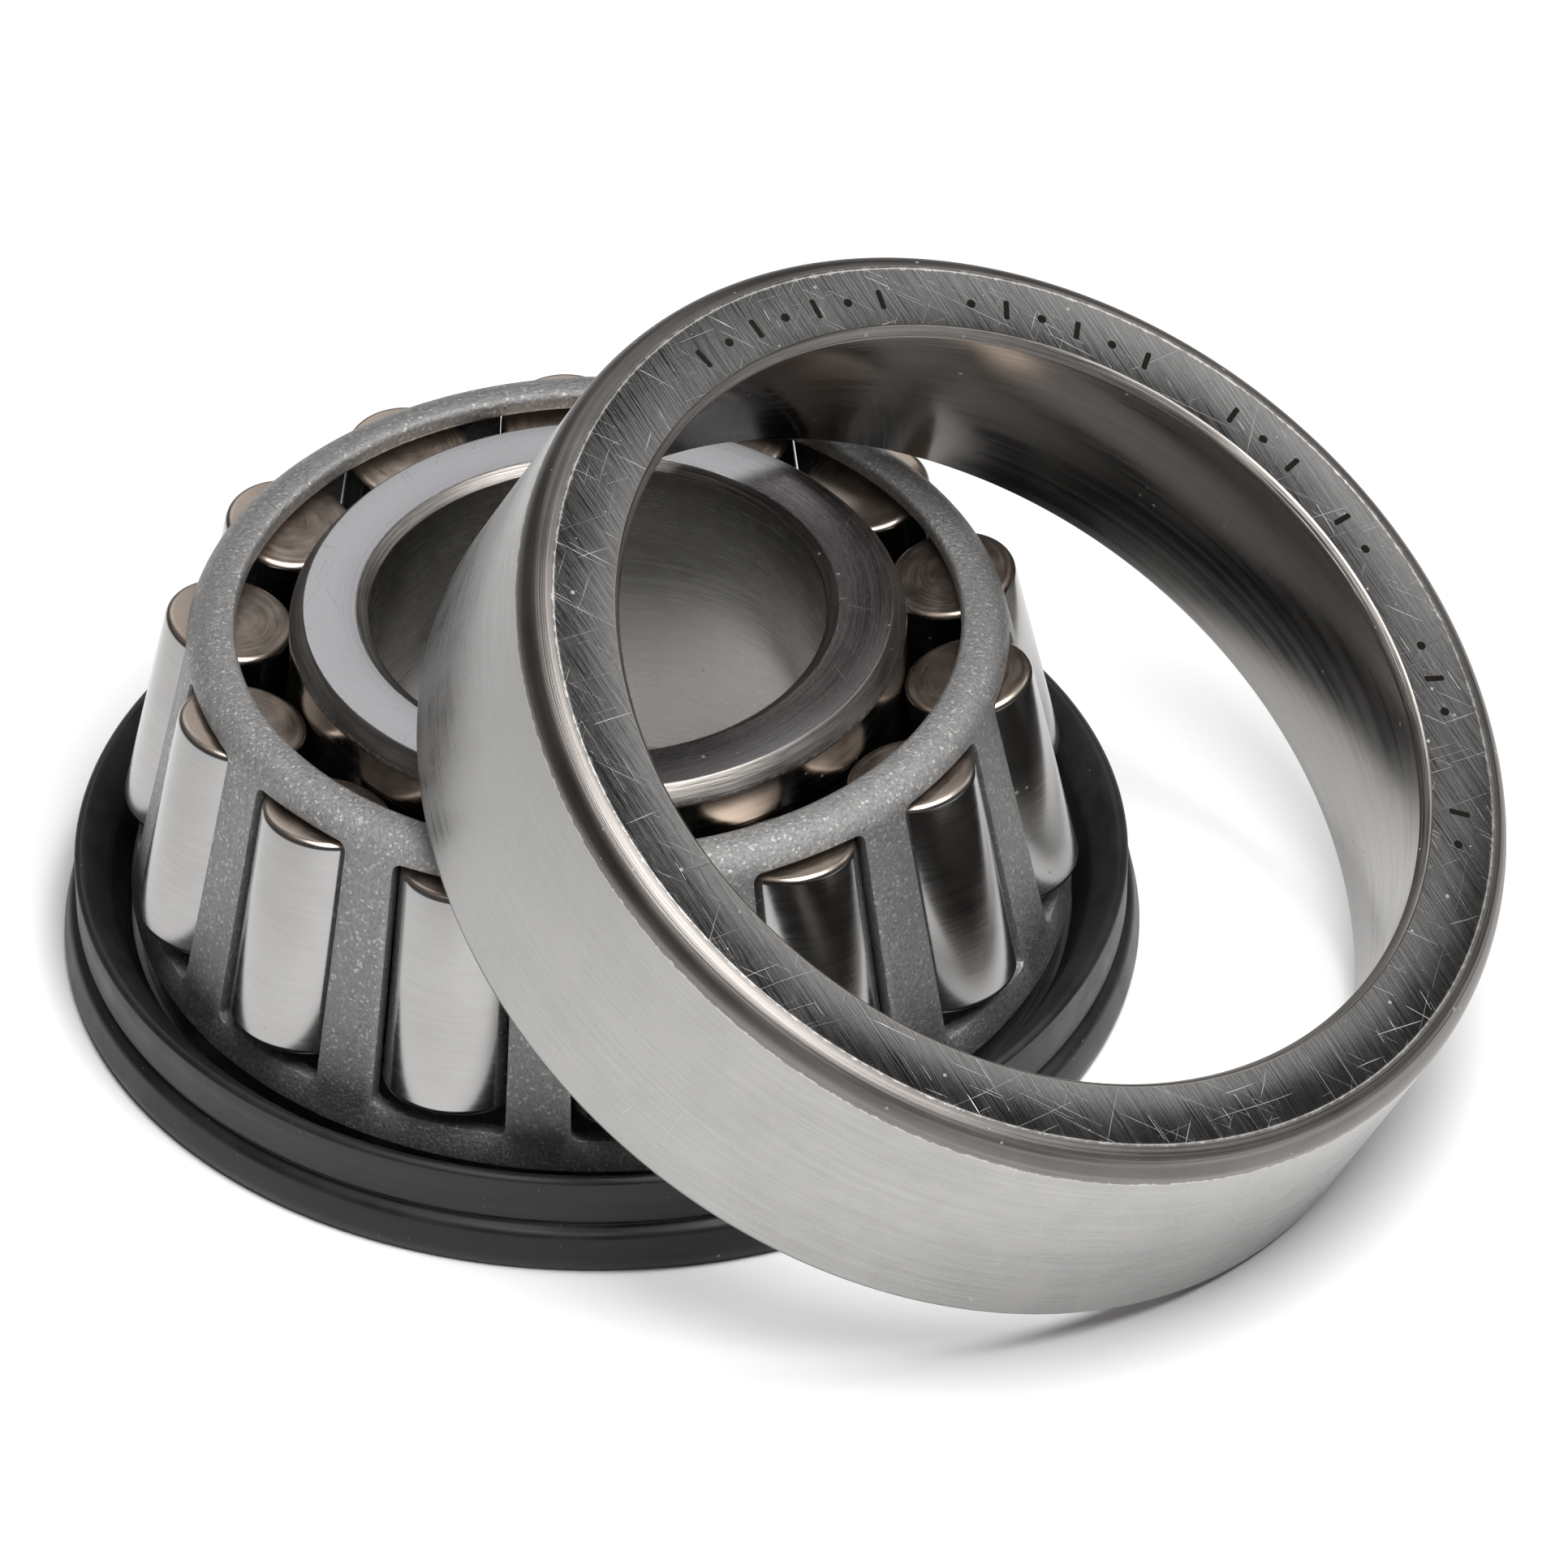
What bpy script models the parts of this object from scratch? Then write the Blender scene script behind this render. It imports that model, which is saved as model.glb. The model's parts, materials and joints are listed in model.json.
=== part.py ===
"""Tapered roller bearing: a cone assembly standing on its large end, with the separable cup leaning on it.

Sizes are in millimetres and turned into metres by MM. Heights in the profiles are measured from the
cone's back face, with the common apex of the tapers above; LIFT raises them to the floor under the seal.
"""

import math

import bmesh
import bpy
from mathutils import Matrix

MM = 0.001

# Boundary sizes
BORE = 21.43
OUTSIDE = 50.005
CONE_WIDTH = 18.288
CUP_WIDTH = 13.97
BEARING_WIDTH = 17.526

# Tapers: every raceway and roller axis meets in one apex on the bearing's axis
CUP_ANGLE = math.radians(11.5)
CUP_WALL = 4.8525               # from the outside to the raceway line at the cup's back face
ROLLERS = 14
ROLLER_SMALL_RADIUS = 3.05
ROLLER_EDGE = 0.35
ROLLER_PHASE = math.radians(-136.3)

# Cone
SMALL_RIB_WIDTH = 2.538         # from the front face to the middle of a roller's small end
LARGE_RIB_WIDTH = 4.418         # from the back face to the middle of a roller's large end
SMALL_RIB_HEIGHT = 0.18
SMALL_RIB_BEVEL = 0.85
SMALL_RIB_BEVEL_WIDTH = 0.67
LARGE_RIB_HEIGHT = 2.42
BORE_CHAMFER = 0.58
BACK_CHAMFER = 1.1

# Cage
CAGE_INSET = 1.1                # how far the rollers stand out of the cage
CAGE_SHEET = 1.0
CAGE_RISE = 1.8                 # lip above the middle of a roller's small end
CAGE_FOOT = 2.318               # sheet below the middle of a roller's large end
CAGE_LIP_WIDTH = 2.37           # lip's inner edge in from the cage's wall
CAGE_BEND = 1.6
POCKET_CORNER = 0.45

# Cup
CUP_CHAMFER_WIDTH = 1.27
CUP_CHAMFER_DEPTH = 1.58
CUP_INNER_CHAMFER = 0.45
CUP_FRONT_CHAMFER = 0.6

# Seal
SEAL_DROP = 1.3                 # how far the rubber hangs below the cone's back face
CASE_SHEET = 0.8
CASE_FLOOR = 0.6                # how far the case hangs below the cone's back face
SEAL_SKIRT = 0.42               # how far the skirt stands out past the cup's outside
SEAL_RIM_INSET = 0.17
SEAL_GROOVE_INSET = 0.5

# Fits
RACEWAY_GAP = 0.03
RIB_GAP = 0.08
PRESS_GAP = 0.05
BOND_GAP = 0.1
LEAN_GAP = 0.05
POCKET_SIDE_GAP = 0.085         # at the small end
POCKET_FOOT_GAP = 0.18          # at the large end
POCKET_TOP_GAP = 0.55           # above the middle of a roller's small end
POCKET_BOTTOM_GAP = 0.718       # below the middle of a roller's large end
SEAL_TO_CAGE = 0.6
SEAL_TO_ROLLER = 0.618
CASE_TO_ROLLER = 1.118

# The cup's lean: how near the cup's outside would come to the cone's axis if the cup lay flat
LEAN_REACH = 1.2025
CUP_HEADING = math.radians(-33.4)

# Derived sizes
OUTER_RADIUS = OUTSIDE / 2
CUP_SMALL_RADIUS = OUTER_RADIUS - CUP_WALL
ROLLER_TOP = CONE_WIDTH - SMALL_RIB_WIDTH
ROLLER_FOOT = LARGE_RIB_WIDTH
CUP_STANDOFF = OUTER_RADIUS - LEAN_REACH
APEX = BEARING_WIDTH + CUP_SMALL_RADIUS / math.tan(CUP_ANGLE)
LIFT = SEAL_DROP


def cup_line(z):
    """Radius of the cup's raceway, and of the roller's outer side, at a height in the assembled bearing."""
    return (APEX - z) * math.tan(CUP_ANGLE)


def half_taper():
    """Half the roller's taper, from its small radius and its distance to the apex."""
    angle = 0.0
    for _ in range(20):
        distance = (APEX - ROLLER_TOP) / math.cos(CUP_ANGLE - angle)
        angle = math.atan(ROLLER_SMALL_RADIUS / distance)
    return angle


HALF_TAPER = half_taper()
ROLLER_ANGLE = CUP_ANGLE - HALF_TAPER
CONE_ANGLE = ROLLER_ANGLE - HALF_TAPER
SMALL_DISTANCE = (APEX - ROLLER_TOP) / math.cos(ROLLER_ANGLE)
LARGE_DISTANCE = (APEX - ROLLER_FOOT) / math.cos(ROLLER_ANGLE)
ROLLER_LENGTH = LARGE_DISTANCE - SMALL_DISTANCE
ROLLER_LARGE_RADIUS = LARGE_DISTANCE * math.tan(HALF_TAPER)


def cone_line(z):
    """Radius of the cone's raceway at a height."""
    return (APEX - z) * math.tan(CONE_ANGLE) - RACEWAY_GAP


SMALL_RIB_RADIUS = cone_line(ROLLER_TOP) + SMALL_RIB_HEIGHT
CONE_FACE_RADIUS = SMALL_RIB_RADIUS - SMALL_RIB_BEVEL_WIDTH
LARGE_RIB_RADIUS = cone_line(ROLLER_FOOT) + LARGE_RIB_HEIGHT


def cage_wall(z):
    """Outer radius of the cage's wall at a height."""
    return cup_line(z) - CAGE_INSET


CAGE_TOP = ROLLER_TOP + CAGE_RISE
CAGE_BOTTOM = ROLLER_FOOT - CAGE_FOOT
CAGE_BEND_Z = CAGE_TOP - CAGE_BEND
CAGE_BEND_R = cage_wall(CAGE_BEND_Z) - CAGE_BEND
CAGE_LIP_RADIUS = cage_wall(CAGE_BEND_Z) - CAGE_LIP_WIDTH
POCKET_TOP = ROLLER_TOP + POCKET_TOP_GAP
POCKET_BOTTOM = ROLLER_FOOT - POCKET_BOTTOM_GAP


def pocket_half(distance, radius, gap):
    """Half the pocket's width: the roller's half chord at the cage's inner wall, and a gap."""
    middle_z = APEX - distance * math.cos(ROLLER_ANGLE)
    middle_r = distance * math.sin(ROLLER_ANGLE)
    off_axis = cage_wall(middle_z) - CAGE_SHEET / math.cos(CUP_ANGLE) - middle_r
    return math.sqrt(radius ** 2 - min(off_axis, radius) ** 2) + gap


POCKET_SMALL_HALF = pocket_half(SMALL_DISTANCE, ROLLER_SMALL_RADIUS, POCKET_SIDE_GAP)
POCKET_LARGE_HALF = pocket_half(LARGE_DISTANCE, ROLLER_LARGE_RADIUS, POCKET_FOOT_GAP)

CASE_HEIGHT = ROLLER_FOOT - CASE_TO_ROLLER
CASE_RADIUS = cage_wall(CAGE_BOTTOM) + SEAL_TO_CAGE
SEAL_RIM_TOP = ROLLER_FOOT - SEAL_TO_ROLLER
SEAL_RIM_RADIUS = OUTER_RADIUS - SEAL_RIM_INSET
SEAL_GROOVE_RADIUS = OUTER_RADIUS - SEAL_GROOVE_INSET
SEAL_SKIRT_RADIUS = OUTER_RADIUS + SEAL_SKIRT
CUP_FACE_RADIUS = OUTER_RADIUS - CUP_CHAMFER_WIDTH


def end_face(distance, radius):
    """Height of a roller's end face where it passes a radius; distance is the end's distance to the apex."""
    middle_z = APEX - distance * math.cos(ROLLER_ANGLE)
    middle_r = distance * math.sin(ROLLER_ANGLE)
    return middle_z + (radius - middle_r) * math.tan(ROLLER_ANGLE)


def arc(centre_r, centre_z, radius, start, end, pieces):
    """Points of an arc in the profile plane; angles in degrees, 0 outwards and 90 up."""
    points = []
    for i in range(pieces + 1):
        angle = math.radians(start + (end - start) * i / pieces)
        points.append((centre_r + radius * math.cos(angle), centre_z + radius * math.sin(angle)))
    return points


def cone_profile():
    bore = BORE / 2
    face = CONE_FACE_RADIUS
    rib_low = end_face(SMALL_DISTANCE, cone_line(ROLLER_TOP)) + RIB_GAP
    foot_r = cone_line(ROLLER_FOOT)
    foot_z = end_face(LARGE_DISTANCE, foot_r) - RIB_GAP
    rib_top = end_face(LARGE_DISTANCE, LARGE_RIB_RADIUS) - RIB_GAP
    return [
        (bore + BORE_CHAMFER, CONE_WIDTH),
        (face, CONE_WIDTH),
        (SMALL_RIB_RADIUS, CONE_WIDTH - SMALL_RIB_BEVEL),
        (SMALL_RIB_RADIUS, rib_low + 0.15),
        (cone_line(rib_low), rib_low),
        (foot_r, foot_z),
        (LARGE_RIB_RADIUS - 0.3, rib_top - 0.05),
        (LARGE_RIB_RADIUS, rib_top - 0.3),
        (LARGE_RIB_RADIUS, 0.4),
        (LARGE_RIB_RADIUS - 0.4, 0.0),
        (bore + BACK_CHAMFER, 0.0),
        (bore + BACK_CHAMFER * 0.35, BACK_CHAMFER * 0.35),
        (bore, BACK_CHAMFER),
        (bore, CONE_WIDTH - BORE_CHAMFER * 0.6),
    ]


def cage_profile():
    across = CAGE_SHEET / math.cos(CUP_ANGLE)
    inner = CAGE_BEND - CAGE_SHEET
    return (
        [(CAGE_LIP_RADIUS, CAGE_TOP - 0.2), (CAGE_LIP_RADIUS + 0.2, CAGE_TOP)]
        + arc(CAGE_BEND_R, CAGE_BEND_Z, CAGE_BEND, 90, 0, 5)
        + [(cage_wall(CAGE_BOTTOM), CAGE_BOTTOM), (cage_wall(CAGE_BOTTOM) - across, CAGE_BOTTOM)]
        + arc(CAGE_BEND_R, CAGE_BEND_Z, inner, 0, 90, 2)
        + [(CAGE_LIP_RADIUS, CAGE_TOP - CAGE_SHEET)]
    )


def cup_profile():
    """Radius and height below the cup's back face."""
    outer = OUTER_RADIUS
    rounded = []
    for i in range(5):
        turn = math.radians(90 * i / 4)
        rounded.append((CUP_FACE_RADIUS + CUP_CHAMFER_WIDTH * math.sin(turn), -CUP_CHAMFER_DEPTH * (1 - math.cos(turn))))
    slope = math.tan(CUP_ANGLE)
    return (
        [(CUP_SMALL_RADIUS + CUP_INNER_CHAMFER, 0.0)]
        + rounded
        + [
            (outer, -(CUP_WIDTH - CUP_FRONT_CHAMFER)),
            (outer - CUP_FRONT_CHAMFER, -CUP_WIDTH),
            (CUP_SMALL_RADIUS + CUP_WIDTH * slope + 0.12, -CUP_WIDTH),
            (CUP_SMALL_RADIUS + (CUP_WIDTH - 0.25) * slope, -(CUP_WIDTH - 0.25)),
            (CUP_SMALL_RADIUS + CUP_INNER_CHAMFER * slope, -CUP_INNER_CHAMFER),
        ]
    )


def case_profile():
    inner = LARGE_RIB_RADIUS + PRESS_GAP
    low = -CASE_FLOOR
    return [
        (inner, CASE_HEIGHT),
        (inner + CASE_SHEET, CASE_HEIGHT),
        (inner + CASE_SHEET, low + CASE_SHEET + 0.5),
        (inner + CASE_SHEET + 0.5, low + CASE_SHEET),
        (CASE_RADIUS, low + CASE_SHEET),
        (CASE_RADIUS, low),
        (inner + 0.6, low),
        (inner, low + 0.6),
    ]


def rubber_profile():
    slot_r = CASE_RADIUS + BOND_GAP
    slot_low = -CASE_FLOOR - BOND_GAP
    slot_high = -CASE_FLOOR + CASE_SHEET + BOND_GAP
    lip = CASE_RADIUS - 0.6
    return [
        (SEAL_RIM_RADIUS - 0.6, SEAL_RIM_TOP - 0.1),
        (SEAL_RIM_RADIUS - 0.3, SEAL_RIM_TOP),
        (SEAL_RIM_RADIUS, SEAL_RIM_TOP - 0.2),
        (SEAL_RIM_RADIUS - 0.05, 1.3),
        (SEAL_GROOVE_RADIUS, 1.0),
        (SEAL_SKIRT_RADIUS - 0.3, 0.75),
        (SEAL_SKIRT_RADIUS, -SEAL_DROP + 0.5),
        (SEAL_SKIRT_RADIUS - 0.25, -SEAL_DROP),
        (lip + 0.4, -SEAL_DROP),
        (lip, slot_low - 0.3),
        (lip, slot_low),
        (slot_r, slot_low),
        (slot_r, slot_high),
        (lip, slot_high),
        (lip, slot_high + 0.5),
        (cage_wall(CAGE_BOTTOM) + 0.55, CAGE_BOTTOM - 0.5),
        (cage_wall(CAGE_BOTTOM) + 0.9, CAGE_BOTTOM + 0.4),
    ]


def cup_back_height(tilt):
    """Height of the cup's back-face centre above the floor, with its lowest rim on the floor."""
    return max(-z * math.cos(tilt) + r * math.sin(tilt) for r, z in cup_profile())


def envelope(z):
    """Largest radius of the standing assembly at a height above the cone's back face."""
    steps = [
        (-SEAL_DROP, SEAL_SKIRT_RADIUS),
        (SEAL_RIM_TOP, SEAL_RIM_RADIUS),
        (SEAL_RIM_TOP + 0.01, cup_line(SEAL_RIM_TOP)),
        (end_face(SMALL_DISTANCE, cup_line(ROLLER_TOP)), cup_line(ROLLER_TOP)),
        (POCKET_TOP + 0.1, cage_wall(POCKET_TOP)),
    ]
    bend = arc(CAGE_BEND_R, CAGE_BEND_Z, CAGE_BEND, 20, 90, 5)
    steps += [(height, radius) for radius, height in bend if height > POCKET_TOP + 0.1]
    steps += [(CAGE_TOP + 0.01, SMALL_RIB_RADIUS), (CONE_WIDTH, CONE_FACE_RADIUS)]
    if z > CONE_WIDTH:
        return -1.0
    for (low_z, low_r), (high_z, high_r) in zip(steps, steps[1:]):
        if z <= high_z:
            return low_r + (high_r - low_r) * max(0.0, z - low_z) / (high_z - low_z)
    return CONE_FACE_RADIUS


def leans_clear(tilt):
    """True if the cup, leaning at this tilt with its lowest rim on the floor, stays clear of the assembly."""
    high = cup_back_height(tilt) - LIFT
    for r, z in cup_profile():
        for i in range(240):
            turn = 2 * math.pi * i / 240
            along = r * math.cos(turn)
            out = CUP_STANDOFF + along * math.cos(tilt) + z * math.sin(tilt)
            up = high - along * math.sin(tilt) + z * math.cos(tilt)
            radius = math.hypot(out, r * math.sin(turn))
            if radius < envelope(up - LEAN_GAP) + LEAN_GAP:
                return False
    return True


def lean_tilt():
    """The tilt at which the falling cup comes to rest on the assembly."""
    low = math.radians(5)
    high = math.radians(60)
    for _ in range(12):
        middle = (low + high) / 2
        if leans_clear(middle):
            high = middle
        else:
            low = middle
    return high


CUP_TILT = lean_tilt()


def footprint_middle():
    """Middle of the whole object's footprint, so that the object stands over its own origin."""
    middle = []
    for heading in (math.cos(CUP_HEADING), math.sin(CUP_HEADING)):
        lean = math.sin(CUP_TILT) * heading
        across = math.sqrt(1 - lean ** 2)
        highs = [CUP_STANDOFF * heading + z * lean + r * across for r, z in cup_profile()]
        lows = [CUP_STANDOFF * heading + z * lean - r * across for r, z in cup_profile()]
        middle.append((max(highs + [SEAL_SKIRT_RADIUS]) + min(lows + [-SEAL_SKIRT_RADIUS])) / 2)
    return middle


MIDDLE_X, MIDDLE_Y = footprint_middle()


def clear_scene():
    for obj in list(bpy.data.objects):
        bpy.data.objects.remove(obj, do_unlink=True)


def material(name, colour, metallic, roughness):
    made = bpy.data.materials.new(name)
    made.use_nodes = True
    shader = made.node_tree.nodes["Principled BSDF"]
    shader.inputs["Base Color"].default_value = (*colour, 1.0)
    shader.inputs["Metallic"].default_value = metallic
    shader.inputs["Roughness"].default_value = roughness
    made.diffuse_color = (*colour, 1.0)
    return made


def collection(name):
    made = bpy.data.collections.new(name)
    bpy.context.scene.collection.children.link(made)
    return made


def smooth(mesh):
    mesh.shade_smooth()
    mesh.set_sharp_from_angle(angle=math.radians(35))


def turned(name, profile, steps, home):
    """A ring from a closed profile at +X that runs down its outer side, turned about Z."""
    mesh = bpy.data.meshes.new(name)
    points = [(r * MM, 0.0, z * MM) for r, z in profile]
    edges = [(i, (i + 1) % len(points)) for i in range(len(points))]
    mesh.from_pydata(points, edges, [])
    obj = bpy.data.objects.new(name, mesh)
    home.objects.link(obj)
    screw = obj.modifiers.new("turn", "SCREW")
    screw.axis = "Z"
    screw.angle = 2 * math.pi
    screw.steps = steps
    screw.render_steps = steps
    screw.use_merge_vertices = True
    screw.merge_threshold = 0.00001
    screw.use_smooth_shade = True
    return obj


def roller_mesh(sides):
    """The tapered roller along Z, its middle at the origin and its small end up."""
    bm = bmesh.new()
    bmesh.ops.create_cone(
        bm,
        cap_ends=True,
        segments=sides,
        radius1=ROLLER_LARGE_RADIUS * MM,
        radius2=ROLLER_SMALL_RADIUS * MM,
        depth=ROLLER_LENGTH * MM,
    )
    rims = [edge for edge in bm.edges if abs(edge.verts[0].co.z - edge.verts[1].co.z) < 1e-6]
    bmesh.ops.bevel(bm, geom=rims, offset=ROLLER_EDGE * MM, segments=2, profile=0.5, affect="EDGES")
    mesh = bpy.data.meshes.new("roller")
    bm.to_mesh(mesh)
    bm.free()
    smooth(mesh)
    return mesh


def roller_place(index):
    """Where a roller stands: its small end leans in to the axis by the roller angle."""
    middle = (SMALL_DISTANCE + LARGE_DISTANCE) / 2
    turn = ROLLER_PHASE + 2 * math.pi * index / ROLLERS
    return (
        Matrix.Rotation(turn, 4, "Z")
        @ Matrix.Translation((middle * math.sin(ROLLER_ANGLE) * MM, 0.0, (APEX - middle * math.cos(ROLLER_ANGLE)) * MM))
        @ Matrix.Rotation(-ROLLER_ANGLE, 4, "Y")
    )


def pocket_cutters(home):
    """One block per pocket, narrower towards the small end, all in one mesh."""
    mesh = bpy.data.meshes.new("pocket_cutters")
    bm = bmesh.new()
    length = (POCKET_TOP - POCKET_BOTTOM) / math.cos(CUP_ANGLE)
    middle_z = (POCKET_TOP + POCKET_BOTTOM) / 2
    for index in range(ROLLERS):
        block = bmesh.new()
        bmesh.ops.create_cube(block, size=2.0)
        for vert in block.verts:
            half = POCKET_SMALL_HALF if vert.co.z > 0 else POCKET_LARGE_HALF
            vert.co.x *= 2.5 * MM
            vert.co.y *= half * MM
            vert.co.z *= length / 2 * MM
        corners = [edge for edge in block.edges if abs(edge.verts[0].co.x - edge.verts[1].co.x) > 1e-4]
        bmesh.ops.bevel(block, geom=corners, offset=POCKET_CORNER * MM, segments=2, profile=0.5, affect="EDGES")
        place = (
            Matrix.Rotation(ROLLER_PHASE + 2 * math.pi * index / ROLLERS, 4, "Z")
            @ Matrix.Translation(((cage_wall(middle_z) - CAGE_SHEET / 2) * MM, 0.0, middle_z * MM))
            @ Matrix.Rotation(-CUP_ANGLE, 4, "Y")
        )
        block.transform(place)
        piece = bpy.data.meshes.new("block")
        block.to_mesh(piece)
        block.free()
        bm.from_mesh(piece)
        bpy.data.meshes.remove(piece)
    bm.to_mesh(mesh)
    bm.free()
    obj = bpy.data.objects.new("pocket_cutters", mesh)
    obj.hide_render = True
    obj.display_type = "WIRE"
    home.objects.link(obj)
    return obj


def build():
    clear_scene()
    home = collection("tapered_roller_bearing")
    cutters = collection("cutters")
    base = Matrix.Translation((-MIDDLE_X * MM, -MIDDLE_Y * MM, LIFT * MM))

    cone = turned("cone", cone_profile(), 72, home)
    case = turned("seal_case", case_profile(), 72, home)
    rubber = turned("seal_rubber", rubber_profile(), 72, home)
    cage = turned("cage", cage_profile(), 6 * ROLLERS, home)
    for obj in (cone, case, rubber, cage):
        obj.matrix_world = base
    cone.data.materials.append(material("ground_steel", (0.55, 0.55, 0.56), 1.0, 0.3))
    case.data.materials.append(material("case_steel", (0.3, 0.3, 0.3), 1.0, 0.4))
    rubber.data.materials.append(material("black_rubber", (0.02, 0.02, 0.022), 0.0, 0.5))
    cage.data.materials.append(material("phosphated_sheet", (0.16, 0.16, 0.165), 0.8, 0.5))

    blocks = pocket_cutters(cutters)
    blocks.matrix_world = base
    pockets = cage.modifiers.new("pockets", "BOOLEAN")
    pockets.operation = "DIFFERENCE"
    pockets.solver = "EXACT"
    pockets.object = blocks

    polished = material("polished_steel", (0.6, 0.6, 0.6), 1.0, 0.2)
    shape = roller_mesh(24)
    shape.materials.append(polished)
    for index in range(ROLLERS):
        roller = bpy.data.objects.new(f"roller_{index + 1:02d}", shape)
        home.objects.link(roller)
        roller.matrix_world = base @ roller_place(index)

    cup = turned("cup", cup_profile(), 96, home)
    cup.data.materials.append(material("cup_steel", (0.45, 0.45, 0.45), 1.0, 0.3))
    cup.matrix_world = (
        Matrix.Translation((
            (CUP_STANDOFF * math.cos(CUP_HEADING) - MIDDLE_X) * MM,
            (CUP_STANDOFF * math.sin(CUP_HEADING) - MIDDLE_Y) * MM,
            cup_back_height(CUP_TILT) * MM,
        ))
        @ Matrix.Rotation(CUP_HEADING, 4, "Z")
        @ Matrix.Rotation(CUP_TILT, 4, "Y")
    )


build()
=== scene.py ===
# %% [markdown]
# # A tapered roller bearing, seen as a maker sees it
# The real object has two halves. The cone assembly (a hardened inner ring, fourteen tapered rollers,
# a pressed steel cage and a rubber seal) stands on its large end, and the loose outer ring, the cup,
# leans on it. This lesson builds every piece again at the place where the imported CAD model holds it,
# with finer edges and with a finish of its own.

# %% Load the frame
import json
import math

import bmesh
import bpy
from mathutils import Matrix, Vector


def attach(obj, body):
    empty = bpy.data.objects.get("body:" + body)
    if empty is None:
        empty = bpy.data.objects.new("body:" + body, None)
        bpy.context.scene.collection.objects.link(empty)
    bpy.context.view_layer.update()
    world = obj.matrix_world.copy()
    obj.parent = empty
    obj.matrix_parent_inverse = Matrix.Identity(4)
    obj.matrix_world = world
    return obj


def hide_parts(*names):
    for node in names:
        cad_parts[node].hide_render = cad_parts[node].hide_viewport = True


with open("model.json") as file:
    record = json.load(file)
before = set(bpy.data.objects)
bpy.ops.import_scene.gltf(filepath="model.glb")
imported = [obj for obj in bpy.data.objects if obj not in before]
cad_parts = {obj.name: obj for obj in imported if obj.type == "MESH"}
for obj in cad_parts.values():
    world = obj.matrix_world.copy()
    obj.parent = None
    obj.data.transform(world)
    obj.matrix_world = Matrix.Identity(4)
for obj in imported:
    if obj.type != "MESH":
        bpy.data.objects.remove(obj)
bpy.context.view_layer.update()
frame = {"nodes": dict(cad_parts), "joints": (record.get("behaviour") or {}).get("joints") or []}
joints = {joint["name"]: joint for joint in frame["joints"]}
MM = 0.001

# %% [markdown]
# Every piece of a bearing is a ring or a roller, so each has one axis. The joints of the CAD model give
# that axis and a point on it. A place is kept as a matrix: pieces are modelled standing on +Z at the
# origin in millimetres, then the matrix carries them to where they belong, in metres.

# %% Where each piece stands
def upright(point, axis):
    """Place whose +Z runs along axis, and whose +X leans down the slope."""
    heading = math.atan2(axis[1], axis[0])
    tilt = math.acos(max(-1.0, min(1.0, axis[2])))
    turn = Matrix.Rotation(heading, 4, "Z") @ Matrix.Rotation(tilt, 4, "Y")
    return Matrix.Translation(point) @ turn @ Matrix.Scale(MM, 4)


cone_place = upright(joints["cage_spin"]["pos_m"], (0.0, 0.0, 1.0))
cup_place = upright(joints["cup_spin"]["pos_m"], joints["cup_spin"]["axis"])
roller_names = sorted(name for name in frame["nodes"] if name.startswith("roller_"))
roller_places = {
    name: upright(joints[name + "_spin"]["pos_m"], joints[name + "_spin"]["axis"])
    for name in roller_names
}
cup_lean = math.degrees(cup_place.to_euler().y)
print(len(roller_places), "rollers round the cone, cup leaning at", round(cup_lean, 1))

# %% [markdown]
# The camera looks down on the bearing from the front with a long lens from more than a metre away, so
# lines that run away from it hardly draw together. It is turned a hair about its own line of sight.

# %% Camera
CAMERA_ELEVATION = 0.678514
CAMERA_DISTANCE = 1.2
CAMERA_ROLL = -0.008177
FOCAL_LENGTH_MM = 585.87
aim = Vector(cone_place.translation) + Vector((8.641, 0.0, 7.393)) * MM
back = Vector((0.0, -math.cos(CAMERA_ELEVATION), math.sin(CAMERA_ELEVATION)))
right = Vector((1.0, 0.0, 0.0))
up = back.cross(right)
rolled_right = math.cos(CAMERA_ROLL) * right + math.sin(CAMERA_ROLL) * up
rolled_up = -math.sin(CAMERA_ROLL) * right + math.cos(CAMERA_ROLL) * up

camera = bpy.data.objects.new("camera", bpy.data.cameras.new("camera"))
bpy.context.scene.collection.objects.link(camera)
camera.matrix_world = (
    Matrix.Translation(aim + back * CAMERA_DISTANCE)
    @ Matrix((rolled_right, rolled_up, back)).transposed().to_4x4()
)
camera.data.sensor_width = 36.0
camera.data.lens = FOCAL_LENGTH_MM
camera.data.clip_start = 0.05
bpy.context.scene.camera = camera
print("camera at", [round(c, 3) for c in camera.location])

# %% [markdown]
# Steel shows its surroundings more than its own colour. The bearing stands on one plain white card in
# a dim room, and soft panels hang close over it. A panel that is near lights the card beside the
# bearing strongly and the rest of it less, so the steel is light where it looks down at the card and
# darker where it looks past it. The same card is what the eye sees and what the steel mirrors.

# %% Floor and room
CARD_WHITE, CARD_ROUGHNESS, CARD_HALF_SIDE = 0.88, 0.8, 3.0
ROOM_GREY = 0.11

card = bpy.data.materials.new("white_card")
card.use_nodes = True
card_shader = card.node_tree.nodes["Principled BSDF"]
card_shader.inputs["Base Color"].default_value = (CARD_WHITE, CARD_WHITE, CARD_WHITE, 1.0)
card_shader.inputs["Roughness"].default_value = CARD_ROUGHNESS
table = bmesh.new()
bmesh.ops.create_grid(table, x_segments=1, y_segments=1, size=CARD_HALF_SIDE)
floor_mesh = bpy.data.meshes.new("floor")
table.to_mesh(floor_mesh)
table.free()
floor = bpy.data.objects.new("floor", floor_mesh)
bpy.context.scene.collection.objects.link(floor)
floor_mesh.materials.append(card)

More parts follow.
